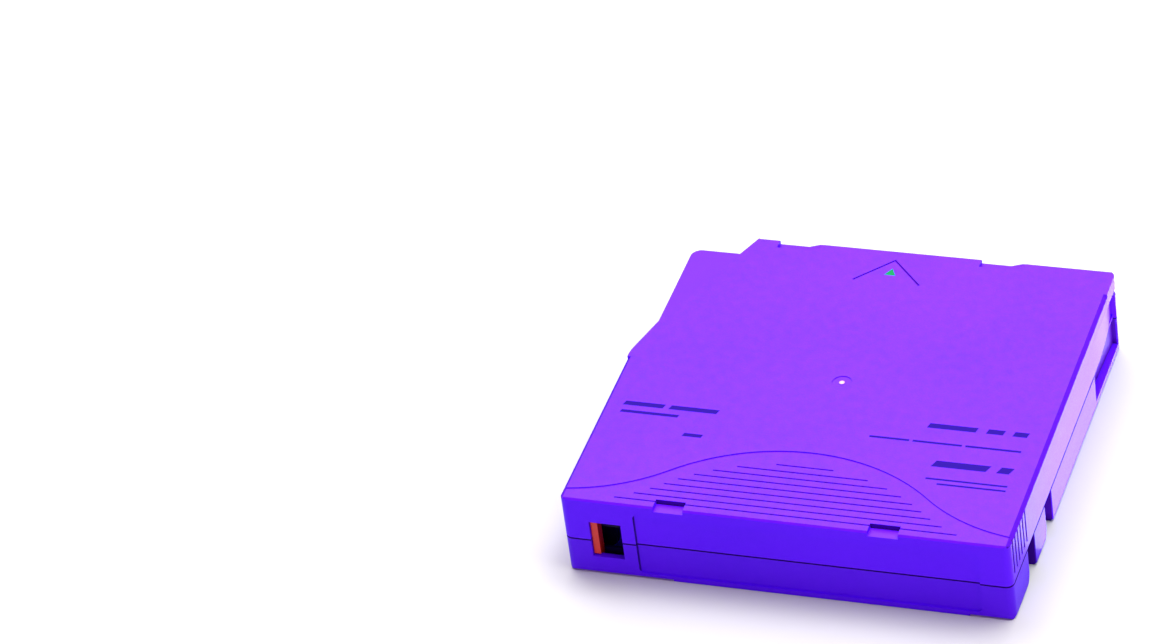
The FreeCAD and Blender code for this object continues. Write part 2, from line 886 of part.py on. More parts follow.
def datum_bosses():
    """Square bosses that close the blind datum holes inside the case."""
    half = datum_radius + datum_wall
    bosses = []
    for centre, extra in ((datum_round_centre(), 0.0), (datum_slot_centre(), datum_slot_extra)):
        x, y = centre
        bosses.append(box(x - half, x + half, y - half - extra, y + half + extra,
                          wall / 2, datum_depth + datum_wall))
    return bosses


def datum_holes():
    """Round hole in one corner and a slot in the other."""
    x, y = datum_round_centre()
    hole = cylinder(datum_radius, -1, datum_depth, x, y)
    x, y = datum_slot_centre()
    ends = [cylinder(datum_radius, -1, datum_depth, x, y + side * datum_slot_extra)
            for side in (-1, 1)]
    middle = box(x - datum_radius, x + datum_radius, y - datum_slot_extra, y + datum_slot_extra,
                 -1, datum_depth)
    return [hole, ends[0].multiFuse([ends[1], middle])]


def spring_post():
    """Post that takes the rear end of the door spring."""
    face = door_rear - spring_length
    back = face - spring_bracket
    foot = box(left + wall / 2, rail_inner, back, face, wall / 2, seam_height)
    return foot.fuse(box(left + wall + lip_clearance, rail_inner, back, face,
                         seam_height - 0.1, tape_middle + spring_post_over))


# ---- memory module -------------------------------------------------------------------------------
def tilted(shape):
    """Places a flat module, drawn on XY with its long edge on X, at 45 degrees in its corner."""
    copy = shape.copy()
    copy.rotate(V(0, 0, 0), V(1, 0, 0), -45)
    lift = board_thickness * sin(radians(45)) + wall + 0.3
    x = right - board_from_right - board_length
    drop = board_height * sin(radians(45))
    copy.translate(V(x, near + board_from_near, lift + drop))
    return copy


def make_memory_board():
    return tilted(box(0, board_length, 0, board_height, 0, board_thickness))


def make_memory_coil():
    outer = box(1, board_length - 1, 0.8, board_height - 0.8, -0.15, 0)
    inner = box(2.4, board_length - 2.4, 2.2, board_height - 2.2, -1, 1)
    return tilted(outer.cut(inner))


def make_memory_chip():
    middle = board_length / 2
    chip = box(middle - 2, middle + 2, board_height / 2 - 2, board_height / 2 + 2,
               board_thickness, board_thickness + 0.8)
    return tilted(chip)


def memory_ledges():
    """Two cheeks with sloping slots that hold the board's ends."""
    x0 = right - board_from_right - board_length
    cheeks = []
    slot_block = box(-board_clearance, board_length + board_clearance, -board_clearance,
                     board_height + board_clearance, -board_clearance - 0.2,
                     board_thickness + board_clearance)
    slot = tilted(slot_block)
    y0 = near + wall / 2
    y1 = near + board_from_near + (board_height + board_thickness) * sin(radians(45)) + 0.3
    for x in (x0 - 1.0, x0 + board_length - 0.6):
        cheek = box(x, x + 1.6, y0, y1, wall / 2, seam_height - 0.3)
        cheeks.append(cheek.cut(slot))
    return cheeks


# ---- reel ----------------------------------------------------------------------------------------
def drive_angles():
    return [(i + 0.5) * 360.0 / tooth_count for i in range(tooth_count)]


def brake_angles():
    return [i * 360.0 / brake_tooth_count for i in range(brake_tooth_count)]


def lock_angles():
    """Half a pitch beside the brake's teeth, and only on the three pedestals between the feet."""
    angles = [angle + 180.0 / brake_tooth_count for angle in brake_angles()]
    return [angle for angle in angles if abs((angle + 60) % 120 - 60) > 30]


def foot_places():
    return [(foot_circle * cos(radians(a)), foot_circle * sin(radians(a))) for a in (0, 120, 240)]


def make_reel_hub():
    body = turned([
        (plate_hole, web_bottom),
        (plate_hole, web_top),
        (hub_bore, web_top),
        (hub_bore, flange_bottom),
        (hub_radius, flange_bottom),
        (hub_radius, reel_bottom + flange_thickness),
        (reel_radius, reel_bottom + flange_thickness),
        (reel_radius, reel_bottom),
        (hub_bore + hub_mouth_flare, reel_bottom),
        (hub_bore, web_bottom),
    ])
    body = body.cut(cylinder(plate_radius + plate_clearance, web_bottom - 1,
                             web_bottom + plate_recess))
    lock_base = brake_tip - brake_teeth_gap
    pedestals = [sector(brake_teeth_in - brake_rim, brake_teeth_out + brake_rim, angle, angle + 60,
                        web_top - 0.2, lock_base) for angle in (30, 150, 270)]
    drive = crown_teeth(drive_teeth_in, drive_teeth_out, web_bottom, web_bottom - drive_teeth_height,
                        tooth_count, drive_tooth_share, drive_angles())
    lock = crown_teeth(brake_teeth_in, brake_teeth_out, lock_base,
                       lock_base + brake_teeth_height, brake_tooth_count, brake_tooth_share,
                       lock_angles())
    body = body.multiFuse(pedestals + drive + lock)
    holes = [cylinder(foot_radius + foot_clearance, 0, web_top + 0.05, x, y) for x, y in foot_places()]
    return body.cut(holes).removeSplitter()


def make_reel_flange():
    return turned([
        (hub_bore, flange_bottom),
        (hub_bore, reel_top),
        (reel_radius, reel_top),
        (reel_radius, flange_bottom),
    ])


def make_reel_plate():
    top = web_bottom + plate_recess
    return ring(plate_hole, plate_radius, top - plate_thickness, top)


def make_tape_pack():
    return ring(hub_radius, pack_radius, tape_bottom, tape_top)


def make_brake_gear():
    ball_top = brake_root + ball_seat()
    body = turned([
        (0, brake_root),
        (brake_teeth_out + brake_rim, brake_root),
        (brake_teeth_out + brake_rim, brake_top),
        (brake_boss_radius, brake_top),
        (brake_boss_radius, brake_boss_top),
        (0, brake_boss_top),
    ])
    teeth = crown_teeth(brake_teeth_in, brake_teeth_out, brake_root, brake_tip,
                        brake_tooth_count, brake_tooth_share, brake_angles())
    body = body.multiFuse(teeth)
    socket = cylinder(ball_radius, brake_root - 1, ball_top)
    return body.cut([brake_key(key_clearance, case_height), socket]).removeSplitter()


def ball_seat():
    return ball_radius * 0.8


def make_thrust_ball():
    return Part.makeSphere(ball_radius - ball_clearance,
                           V(0, 0, brake_root + ball_seat() - ball_radius))


def make_release_plate():
    ball_low = brake_root + ball_seat() - 2 * ball_radius
    arms = []
    for x, y in foot_places():
        arms.append(eight_sided(foot_radius + foot_pad, release_bottom, release_top, x, y))
        arms.append(cylinder(foot_radius, web_bottom - drive_teeth_height + foot_lift_room,
                             release_bottom + 0.1, x, y))
        arm = box(0, foot_circle, -foot_radius, foot_radius, release_bottom, release_top)
        arms.append(turn(arm, degrees(atan2(y, x))))
    centre = cylinder(release_centre, release_bottom, release_top)
    nose_top = ball_low - release_gap
    if nose_top > release_top:
        centre = centre.fuse(cylinder(release_nose, release_top - 0.1, nose_top))
    else:
        centre = centre.cut(cylinder(release_nose, nose_top, case_height))
    return centre.multiFuse(arms).removeSplitter()


def make_brake_spring():
    length = ceiling - brake_top - 2 * spring_seat_gap - brake_wire
    spring = coil(brake_boss_radius + brake_wire / 2 + brake_coil_gap, brake_wire / 2, length,
                  brake_turns, brake_coil_steps)
    return move(spring, 0, 0, brake_top + spring_seat_gap + brake_wire / 2)


# ---- leader pin and door -------------------------------------------------------------------------
def make_leader_pin():
    body = turned([
        (0, pin_bottom),
        (pin_button_radius, pin_bottom),
        (pin_button_radius, pin_bottom + pin_button),
        (pin_shank_radius, pin_bottom + pin_button + 0.3),
        (pin_shank_radius, pin_top - pin_button - 0.3),
        (pin_button_radius, pin_top - pin_button),
        (pin_button_radius, pin_top),
        (0, pin_top),
    ])
    return move(body, pin_x, pin_y, 0)


def pack_tangent():
    """Point where the free tape leaves the roll, and its direction to the pin."""
    radius = pack_radius + leader_stand_off
    distance = sqrt(pin_x ** 2 + pin_y ** 2)
    angle = atan2(pin_y, pin_x) - (pi / 2 - asin(radius / distance))
    start = V(radius * cos(angle), radius * sin(angle), 0)
    along = (V(pin_x, pin_y, 0) - start).normalize()
    return start, along


def make_leader_tape():
    start, along = pack_tangent()
    length = (V(pin_x, pin_y, 0) - start).Length - pin_shank_radius - clip_wall - leader_end_gap
    ribbon = box(0, length, 0, leader_thickness, tape_bottom, tape_top)
    if along.x < 0:
        ribbon = box(0, length, -leader_thickness, 0, tape_bottom, tape_top)
    ribbon.rotate(V(0, 0, 0), UP, degrees(atan2(along.y, along.x)))
    return move(ribbon, start.x, start.y, 0)


def make_pin_clip():
    start, along = pack_tangent()
    facing = degrees(atan2(-along.y, -along.x))
    inner = pin_shank_radius + clip_clearance
    mouth = facing + 90
    return sector(inner, pin_shank_radius + clip_wall, mouth + clip_mouth / 2,
                  mouth + 360 - clip_mouth / 2, tape_bottom + clip_end, tape_top - clip_end,
                  pin_x, pin_y)


def make_pin_spring():
    """Strip with a back plate on the far wall and two hooked arms around the pin's ends."""
    hook = pin_button_radius + nest_clearance
    plate_y = far - roof_inset_far - wall - strip_clearance
    knee_x = pin_x + strip_knee_from_pin
    plate_end = pin_x + strip_end_from_pin
    low, high = pin_bottom + strip_clearance, pin_top - strip_clearance
    arm = pin_button - 2 * strip_clearance
    parts = [box(knee_x, plate_end, plate_y - strip, plate_y, low, high)]
    for z0, z1 in ((low, low + arm), (high - arm, high)):
        parts.append(sector(hook, hook + strip, hook_start, hook_end, z0, z1, pin_x, pin_y))
        spoke = V(cos(radians(hook_start)), sin(radians(hook_start)), 0)
        outside = V(pin_x, pin_y, 0) + spoke * (hook + strip)
        inside = V(pin_x, pin_y, 0) + spoke * hook
        parts.append(extrude_plan(polygon_edges([
            (outside.x, outside.y),
            (knee_x + strip, plate_y),
            (knee_x + 2 * strip, plate_y - strip),
            (inside.x, inside.y),
        ]), z0, z1))
    return parts[0].multiFuse(parts[1:]).removeSplitter()


def make_access_door():
    plate = box(door_outer, door_inner, door_rear, door_front, door_bottom, door_top)
    lug = box(door_outer - door_lug_depth, door_outer + 0.1, door_front - door_lug_length,
              door_front, floor_lip + door_lug_over_floor, door_lug_top)
    ribs = []
    for i in range(door_rib_count):
        y = door_front - door_rib_first - door_rib_pitch * i
        ribs.append(box(door_outer - door_rib_height, door_outer + 0.1, y, y + door_rib_width,
                        door_rib_bottom, door_rib_top))
    bracket = box(door_outer, rail_inner - bracket_gap, door_rear, door_rear + spring_bracket,
                  tape_middle - bracket_half, tape_middle + bracket_half)
    return plate.multiFuse([lug, bracket] + ribs).removeSplitter()


def make_door_spring():
    length = spring_length - 2 * spring_seat_gap - spring_wire
    spring = coil(spring_radius, spring_wire / 2, length, spring_turns, spring_coil_steps)
    spring.rotate(V(0, 0, 0), V(1, 0, 0), 90)
    return move(spring, spring_x, door_rear - spring_seat_gap - spring_wire / 2, tape_middle)


def make_write_protect_tab():
    tab_right = window_left + tab_nub_width
    body = box(tab_left, tab_right, tab_front, tab_back, tab_bottom, tab_bottom + tab_height)
    nub = box(window_left + tab_nub_side_gap, tab_right, tab_front - tab_nub, tab_front + 0.1,
              window_bottom + tab_nub_end_gap, window_bottom + window_height - tab_nub_end_gap)
    return body.fuse(nub).removeSplitter()


def make_shell_screws():
    top = head_sink + head_height
    half = head_slot_length / 2
    thin = head_slot_width / 2
    slot = box(-half, half, -thin, thin, 0, head_sink + head_slot_depth)
    head = cylinder(head_radius, head_sink, top - head_seat_gap)
    head = head.cut(slot.fuse(turn(slot, 90)))
    shank = eight_sided(screw_radius * cos(pi / 8), top - 0.1, top + screw_length)
    screw = head.fuse(shank)
    return Part.makeCompound([move(screw, x, y, 0) for x, y in screw_places])


nodes = {
    "upper_shell": make_upper_shell,
    "lower_shell": make_lower_shell,
    "write_protect_tab": make_write_protect_tab,
    "access_door": make_access_door,
    "door_spring": make_door_spring,
    "leader_pin": make_leader_pin,
    "pin_clip": make_pin_clip,
    "pin_spring": make_pin_spring,
    "leader_tape": make_leader_tape,
    "tape_pack": make_tape_pack,
    "reel_hub": make_reel_hub,
    "reel_flange": make_reel_flange,
    "reel_plate": make_reel_plate,
    "brake_gear": make_brake_gear,
    "brake_spring": make_brake_spring,
    "release_plate": make_release_plate,
    "thrust_ball": make_thrust_ball,
    "memory_board": make_memory_board,
    "memory_coil": make_memory_coil,
    "memory_chip": make_memory_chip,
    "shell_screws": make_shell_screws,
}

os.makedirs("parts", exist_ok=True)
for name, make in nodes.items():
    shape = make()
    shape.exportStep("parts/" + name + ".step")
    print(name, len(shape.Solids), round(shape.Volume, 2), shape.isValid())
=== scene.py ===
"""Finishes, prints, camera and light of a half-inch data tape cartridge."""

import json
from math import radians

import bpy
from mathutils import Matrix, Vector

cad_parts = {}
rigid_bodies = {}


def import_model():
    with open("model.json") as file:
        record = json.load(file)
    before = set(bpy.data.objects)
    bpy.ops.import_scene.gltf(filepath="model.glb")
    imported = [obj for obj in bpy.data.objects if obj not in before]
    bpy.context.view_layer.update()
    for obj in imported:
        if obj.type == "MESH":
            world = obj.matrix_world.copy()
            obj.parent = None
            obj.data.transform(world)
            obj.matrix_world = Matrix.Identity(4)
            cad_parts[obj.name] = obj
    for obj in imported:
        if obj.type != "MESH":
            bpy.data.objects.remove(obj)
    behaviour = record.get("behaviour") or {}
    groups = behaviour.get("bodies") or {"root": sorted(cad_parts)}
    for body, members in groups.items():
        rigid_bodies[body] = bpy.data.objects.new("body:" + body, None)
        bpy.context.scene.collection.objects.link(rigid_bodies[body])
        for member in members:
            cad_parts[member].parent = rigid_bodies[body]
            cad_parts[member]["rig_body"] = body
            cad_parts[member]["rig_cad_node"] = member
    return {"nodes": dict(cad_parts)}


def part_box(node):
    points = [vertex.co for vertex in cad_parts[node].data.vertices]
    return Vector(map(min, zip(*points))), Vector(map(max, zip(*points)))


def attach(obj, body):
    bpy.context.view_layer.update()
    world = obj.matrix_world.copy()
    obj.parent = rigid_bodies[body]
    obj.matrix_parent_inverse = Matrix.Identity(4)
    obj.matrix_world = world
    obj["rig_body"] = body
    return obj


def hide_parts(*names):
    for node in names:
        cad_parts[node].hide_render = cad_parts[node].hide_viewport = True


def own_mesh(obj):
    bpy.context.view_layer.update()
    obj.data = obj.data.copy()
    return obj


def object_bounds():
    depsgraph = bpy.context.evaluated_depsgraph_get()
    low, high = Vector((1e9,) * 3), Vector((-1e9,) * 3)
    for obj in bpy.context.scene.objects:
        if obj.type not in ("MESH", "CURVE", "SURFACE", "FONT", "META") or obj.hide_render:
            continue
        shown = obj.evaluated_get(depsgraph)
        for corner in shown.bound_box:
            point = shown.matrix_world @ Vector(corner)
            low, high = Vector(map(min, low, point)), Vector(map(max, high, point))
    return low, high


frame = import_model()
cad_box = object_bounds()
MM = 0.001

# ---- sizes in millimetres, unless they say otherwise ------------------------------------------
mould_edge = 0.22  # rounding of the shells' edges
merge_distance = 0.000002  # metres
ink_thickness = 0.01
# The next size is the radius of the painted highlight on the gate tip.
gate_highlight_radius = 0.75
floor_gap = 0.0001  # metres below the case
floor_size = 6.0  # metres

# Regions of the case, by their limits along X, Y and Z. The top face gets a stronger grain; the
# bevels carry a painted dark reflection, the gate tip a painted highlight and all other regions
# painted shade. None leaves an axis free.
CASE_REGIONS = {
    "top_face": (None, None, (21.0, 22.0)),
    "lower_half": (None, None, (-1.0, 9.39)),
    "seam": (None, None, (9.33, 9.73)),
    "right_seam": ((52.3, 53.0), (-49.0, 25.5), (9.22, 9.82)),
    "label_ends": ((-35.8, -35.2), (-50.96, -50.3), (1.3, 18.6)),
    "right_bevel": ((51.83, 53.0), (-50.6, 42.0), (20.63, 21.47)),
    "left_bevel": ((-53.0, -51.83), (-50.6, 1.5), (20.63, 21.47)),
    "first_notch": ((50.3, 52.4), (-37.6, -31.2), (-1.0, 9.39)),
    "second_notch": ((50.3, 52.4), (-21.9, -15.5), (-1.0, 9.39)),
    "scoop_foot": ((50.3, 52.3), (26.2, 49.0), (2.0, 9.39)),
    "grip_lines": ((-51.6, 51.6), (-50.4, -25.0), (20.90, 21.18)),
    "grip_rim": ((-51.6, 51.6), (-50.4, -25.0), (21.28, 21.42)),
    "arrow_lines": ((-9.0, 9.0), (36.0, 49.0), (21.26, 21.40)),
    "pocket_ends": (None, (-48.1, -47.6), (19.9, 20.9)),
    "side_lines": ((52.2, 52.6), (-49.5, -34.0), (11.5, 20.5)),
    "tab_room": ((-50.0, -20.0), (-49.6, -40.0), (1.7, 19.5)),
    "gate_highlight": (None, None, (21.3, 21.6)),
}

# How far each region's painted shade darkens it towards its darker colour.
LOWER_HALF_SHADE = 0.16
LABEL_END_SHADE = 0.7
BEVEL_SHADE = 0.62
NOTCH_SHADE = 0.66
SCOOP_SHADE = 0.68
RIM_SHADE = 0.6
LINE_SHADE = 0.84
TAB_ROOM_SHADE = 0.97

# The first two violets are the plastic's own grain; black, the seam's violet and the deep violet are
# colours of painted shade and dark reflection, and the gate's violet is a painted highlight.
BLACK = (0.0, 0.0, 0.0)
DARK_VIOLET = (0.070, 0.0008, 0.80)
LIGHT_VIOLET = (0.132, 0.0040, 1.0)
LINE_SHADOW_VIOLET = (0.010, 0.0002, 0.05)
PAINTED_SHADE_VIOLET = (0.036, 0.0002, 0.085)
GATE_HIGHLIGHT_VIOLET = (0.85, 0.42, 0.95)


# ---- materials as arithmetic on sockets -------------------------------------------------------
class Value:
    """A number that changes over a surface."""

    def __init__(self, finish, socket):
        self.finish = finish
        self.socket = socket

    def math(self, operation, *others):
        return self.finish.node("Math", {"operation": operation}, *others)

    def __add__(self, other):
        return self.math("ADD", self, other)

    def __radd__(self, other):
        return self.math("ADD", other, self)

    def __sub__(self, other):
        return self.math("SUBTRACT", self, other)

    def __rsub__(self, other):
        return self.math("SUBTRACT", other, self)

    def __mul__(self, other):
        return self.math("MULTIPLY", self, other)

    def __rmul__(self, other):
        return self.math("MULTIPLY", other, self)

    def __lt__(self, other):
        return self.math("LESS_THAN", self, other)

    def __gt__(self, other):
        return self.math("GREATER_THAN", self, other)

    def clamped(self, low, high):
        return self.math("MINIMUM", self.math("MAXIMUM", self, low), high)


class Finish:
    """A surface finish: one shader and the nodes that feed it."""

    def __init__(self, name):
        self.material = bpy.data.materials.new(name)
        self.material.use_nodes = True
        self.tree = self.material.node_tree
        self.shader = self.tree.nodes["Principled BSDF"]
        self.place = self.node("TexCoord", {}, output="Object")

    def node(self, kind, settings, *inputs, output=0, **named):
        """Adds a node; settings come first, then the values or links of its sockets."""
        made = self.tree.nodes.new("ShaderNode" + kind)
        for key, setting in settings.items():
            setattr(made, key, setting)
        for key, given in list(enumerate(inputs)) + list(named.items()):
            socket = made.inputs[key if isinstance(key, int) else key.replace("_", " ")]
            self.feed(socket, given)
        return Value(self, made.outputs[output])

    def feed(self, socket, given):
        if isinstance(given, Value):
            self.tree.links.new(given.socket, socket)
        else:
            socket.default_value = given

    def set(self, **sockets):
        """Feeds sockets of the shader, named with underscores for spaces."""
        for key, given in sockets.items():
            self.feed(self.shader.inputs[key.replace("_", " ")], given)
        return self

    def noise(self, size, detail=2.0, rough=0.5):
        """Noise from 0 to 1 whose grains are about size millimetres across."""
        scale = 1.0 / (size * MM)
        return self.node("TexNoise", {}, Vector=self.place, Scale=scale, Detail=detail, Roughness=rough)

    def within(self, x=None, y=None, z=None):
        """One inside a box given in millimetres, nought outside; an axis left out is free."""
        inside = 1.0
        for axis, limits in enumerate((x, y, z)):
            if limits:
                along = self.axes(axis)
                inside = inside * (along > limits[0] * MM) * (along < limits[1] * MM)
        return inside

    def axes(self, axis):
        """Place along one axis, in metres."""
        return self.node("SeparateXYZ", {}, self.place, output=axis)

    def colours(self, factor, first, second):
        """Mixes two colours; each is three numbers or a colour made before."""
        made = self.tree.nodes.new("ShaderNodeMix")
        made.data_type = "RGBA"
        self.feed(made.inputs["Factor"], factor)
        for socket, colour in ((made.inputs[6], first), (made.inputs[7], second)):
            self.feed(socket, colour if isinstance(colour, Value) else (*colour, 1))
        return Value(self, made.outputs[2])

    def bump(self, height, strength, distance):
        """Feeds the shader's normal from a height field; distance in millimetres."""
        self.set(Normal=self.node("Bump", {}, Height=height, Strength=strength, Distance=distance * MM))
        return self


def shell_plastic():
    """Violet plastic with a fine grain; painted shade, a painted dark reflection and a painted highlight.
    """
    finish = Finish("violet_shell_plastic")

    def region(name):
        return finish.within(*CASE_REGIONS[name])

    grain = finish.noise(0.35, 3.0, 0.6)
    cloud = finish.noise(2.2, 2.0)
    drift = finish.noise(45.0, 1.0)
    mottle = 0.35 + region("top_face") * 0.9
    fine = (grain - 0.5) * mottle
    coarse = (cloud - 0.5) * mottle * 0.6
    tint = (fine + coarse + (drift - 0.5) * 0.5 + 0.5).clamped(0.0, 1.0)
    colour = finish.colours(tint, DARK_VIOLET, LIGHT_VIOLET)

    # Painted shade: the lower half a little darker than the upper, as the light falls on it.
    colour = finish.colours(region("lower_half") * LOWER_HALF_SHADE, colour, BLACK)
    # Painted shade in the seam between the shells, in a band wider than the groove on the right wall, and
    # along the ends of the label recess.
    seam = (region("seam") + region("right_seam")).clamped(0.0, 1.0)
    marks = (seam + region("label_ends") * LABEL_END_SHADE).clamped(0.0, 0.88)
    colour = finish.colours(marks, colour, LINE_SHADOW_VIOLET)

    # Painted shade in the notches, at the foot of the scoop and in the moulded lines and grooves, and a
    # painted dark reflection along the bevels of the top edges.
    bevels = region("right_bevel") + region("left_bevel")
    notches = region("first_notch") + region("second_notch")
    lines = region("grip_lines") + region("arrow_lines") + region("grip_rim") * RIM_SHADE
    lines = (lines + region("pocket_ends") + region("side_lines")).clamped(0.0, 1.0)
    painted_shade = bevels * BEVEL_SHADE + notches * NOTCH_SHADE + region("scoop_foot") * SCOOP_SHADE
    painted_shade = (painted_shade + lines * LINE_SHADE).clamped(0.0, 0.9)
    colour = finish.colours(painted_shade, colour, PAINTED_SHADE_VIOLET)

    # Painted shadow: the room behind the tab's window is coloured near black.
    colour = finish.colours(region("tab_room") * TAB_ROOM_SHADE, colour, BLACK)
    # Painted highlight: a pale spot on the gate tip, fading out from its centre.
    aside, along = finish.axes(0), finish.axes(1)
    gate_highlight = 1.0 - (aside * aside + along * along) * (1.0 / (gate_highlight_radius * MM) ** 2)
    gate_highlight = gate_highlight.clamped(0.0, 1.0) * region("gate_highlight")
    colour = finish.colours(gate_highlight, colour, GATE_HIGHLIGHT_VIOLET)

    dull = seam + bevels + notches + lines
    finish.set(Base_Color=colour, Roughness=(0.34 + grain * 0.22 + dull * 0.6).clamped(0.0, 1.0))
    finish.shader.inputs["Specular IOR Level"].default_value = 0.10
    return finish.bump(grain, 0.35, 0.06).material


def plain_plastic(name, dark, light, low_gloss, high_gloss, grain_size=0.6):
    """Moulded plastic with slight flow marks."""
    finish = Finish(name)
    flow = finish.noise(grain_size * 8, 2.0)
    grain = finish.noise(grain_size, 2.0)
    finish.set(
        Base_Color=finish.colours(flow, dark, light),
        Roughness=low_gloss + grain * (high_gloss - low_gloss),
    )
    return finish.bump(grain, 0.15, 0.02).material


def metal(name, colour, rough, brushed):
    """Steel; brushed stretches its fine scratches along X."""
    finish = Finish(name)
    stretch = (0.06, 1.0, 1.0) if brushed else (1.0, 1.0, 1.0)
    way = finish.node("Mapping", {}, Vector=finish.place, Scale=stretch)
    scratch = finish.node("TexNoise", {}, Vector=way, Scale=4000.0, Detail=2.0)
    shade = tuple(0.86 * c for c in colour)
    finish.set(
        Base_Color=finish.colours(scratch, shade, colour),
        Roughness=rough - 0.08 + scratch * 0.16,
        Metallic=1.0,
    )
    return finish.bump(scratch, 0.1, 0.01).material


def ink(name, colour):
    """Printed ink, a little uneven."""
    finish = Finish(name)
    speck = finish.noise(0.3, 2.0)
    lighter = tuple(c * 1.3 for c in colour)
    finish.set(Base_Color=finish.colours(speck, colour, lighter), Roughness=0.6 + speck * 0.2)
    finish.shader.inputs["Specular IOR Level"].default_value = 0.05
    return finish.material


def wound_tape():
    """Edges of the wound tape: rings of slightly different grey around the hub."""
    finish = Finish("wound_tape_edges")
    rings = finish.node("TexWave", {"wave_type": "RINGS", "rings_direction": "Z"},
                        Vector=finish.place, Scale=2200.0, Distortion=0.6, output="Fac")
    bands = finish.noise(6.0, 3.0)
    finish.set(
        Base_Color=finish.colours(rings * 0.6 + bands * 0.4, (0.012, 0.010, 0.009), (0.045, 0.036, 0.032)),
        Roughness=0.3 + rings * 0.2,
    )
    return finish.material


# ---- pieces -------------------------------------------------------------------------------------
def alone(piece):
    """Selects one piece only."""
    bpy.ops.object.select_all(action="DESELECT")
    bpy.context.view_layer.objects.active = piece
    piece.select_set(True)
    return piece


def modified(piece, kind, **settings):
    """Applies a modifier to a piece."""
    alone(piece)
    modifier = piece.modifiers.new(kind.lower(), kind)
    for key, setting in settings.items():
        setattr(modifier, key, setting)
    bpy.ops.object.modifier_apply(modifier=modifier.name)
    return piece


def copied(node, name):
    """Copy of a solid with its corners merged; it stands for the solid and rides where it rides."""
    source = frame["nodes"][node]
    piece = source.copy()
    piece.data = source.data.copy()
    piece.name = name
    bpy.context.scene.collection.objects.link(piece)
    piece.parent = None
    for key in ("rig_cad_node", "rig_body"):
        if key in piece:
            del piece[key]
    alone(piece)
    bpy.ops.object.mode_set(mode="EDIT")
    bpy.ops.mesh.select_all(action="SELECT")
    bpy.ops.mesh.remove_doubles(threshold=merge_distance)
    bpy.ops.object.mode_set(mode="OBJECT")
    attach(piece, source["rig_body"])
    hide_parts(node)
    return piece


def softened(node, edge, name):
    """Copy of a moulding with its sharp edges rounded as they leave a mould."""
    piece = alone(copied(node, name))
    bpy.ops.object.mode_set(mode="EDIT")
    bpy.ops.mesh.select_all(action="SELECT")
    bpy.ops.mesh.dissolve_limited(angle_limit=radians(0.5))
    bpy.ops.object.mode_set(mode="OBJECT")
    modified(piece, "BEVEL", width=edge * MM, segments=2, limit_method="ANGLE", angle_limit=radians(28),
             use_clamp_overlap=True, miter_outer="MITER_SHARP")
    alone(piece)
    bpy.ops.object.shade_smooth_by_angle(angle=radians(25))
    modified(piece, "WEIGHTED_NORMAL", keep_sharp=True, weight=100)
    return piece


def coiled(node):
    """Copy of a coil spring, with a mesh of its own."""
    piece = copied(node, node + "_coil")
    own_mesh(piece)
    return piece


def painted(piece, material):
    """Gives a piece one material in place of those it has."""
    piece.data.materials.clear()
    piece.data.materials.append(material)
    return piece


violet = shell_plastic()
for node in ("upper_shell", "lower_shell"):
    shell = softened(node, mould_edge, node + "_moulding")
    painted(shell, violet)

finishes = {
    "write_protect_tab": plain_plastic(
        "orange_tab_plastic", (0.50, 0.008, 0.002), (0.62, 0.014, 0.003), 0.3, 0.42
    ),
    "access_door": plain_plastic("door_plastic", (0.098, 0.0035, 0.84), (0.128, 0.0065, 0.96), 0.3, 0.45),
    "door_spring": metal("door_spring_wire", (0.62, 0.61, 0.59), 0.3, False),
    "brake_spring": metal("brake_spring_wire", (0.62, 0.61, 0.59), 0.3, False),
    "leader_pin": metal("turned_pin_steel", (0.70, 0.70, 0.68), 0.18, False),
    "pin_clip": plain_plastic("clip_plastic", (0.62, 0.62, 0.58), (0.75, 0.75, 0.70), 0.35, 0.5),
    "pin_spring": metal("pin_spring_strip", (0.60, 0.59, 0.57), 0.28, True),
    "leader_tape": plain_plastic("tape_film", (0.014, 0.012, 0.011), (0.026, 0.022, 0.02), 0.12, 0.2),
    "tape_pack": wound_tape(),
    "reel_hub": plain_plastic("hub_plastic", (0.62, 0.62, 0.60), (0.74, 0.74, 0.71), 0.32, 0.45),
    "reel_flange": plain_plastic("flange_plastic", (0.60, 0.60, 0.59), (0.72, 0.72, 0.70), 0.22, 0.35),
    "reel_plate": metal("clutch_plate_steel", (0.55, 0.55, 0.54), 0.35, True),
    "brake_gear": plain_plastic("brake_plastic", (0.040, 0.040, 0.043), (0.070, 0.070, 0.074), 0.35, 0.5),
    "release_plate": plain_plastic("release_plastic", (0.55, 0.55, 0.52), (0.68, 0.68, 0.65), 0.35, 0.5),
    "thrust_ball": metal("ball_steel", (0.66, 0.66, 0.65), 0.12, False),
    "memory_board": plain_plastic("board_mask", (0.012, 0.085, 0.035), (0.02, 0.12, 0.05), 0.25, 0.35),
    "memory_coil": metal("etched_copper", (0.72, 0.33, 0.18), 0.32, True),
    "memory_chip": plain_plastic("chip_resin", (0.010, 0.010, 0.011), (0.018, 0.018, 0.019), 0.4, 0.5),
    "shell_screws": metal("screw_steel", (0.50, 0.50, 0.50), 0.3, True),
}
for node, material in finishes.items():
    painted(frame["nodes"][node], material)

painted(coiled("door_spring"), finishes["door_spring"])
painted(coiled("brake_spring"), finishes["brake_spring"])


# ---- prints ---------------------------------------------------------------------------------------
top_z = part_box("upper_shell")[1].z


def bar(x0, x1, y0, y1, lean=0.0):
    """Outline of a plain bar; lean moves its far edge to the right."""
    return [(x0, y0), (x1, y0), (x1 + lean, y1), (x0 + lean, y1)]


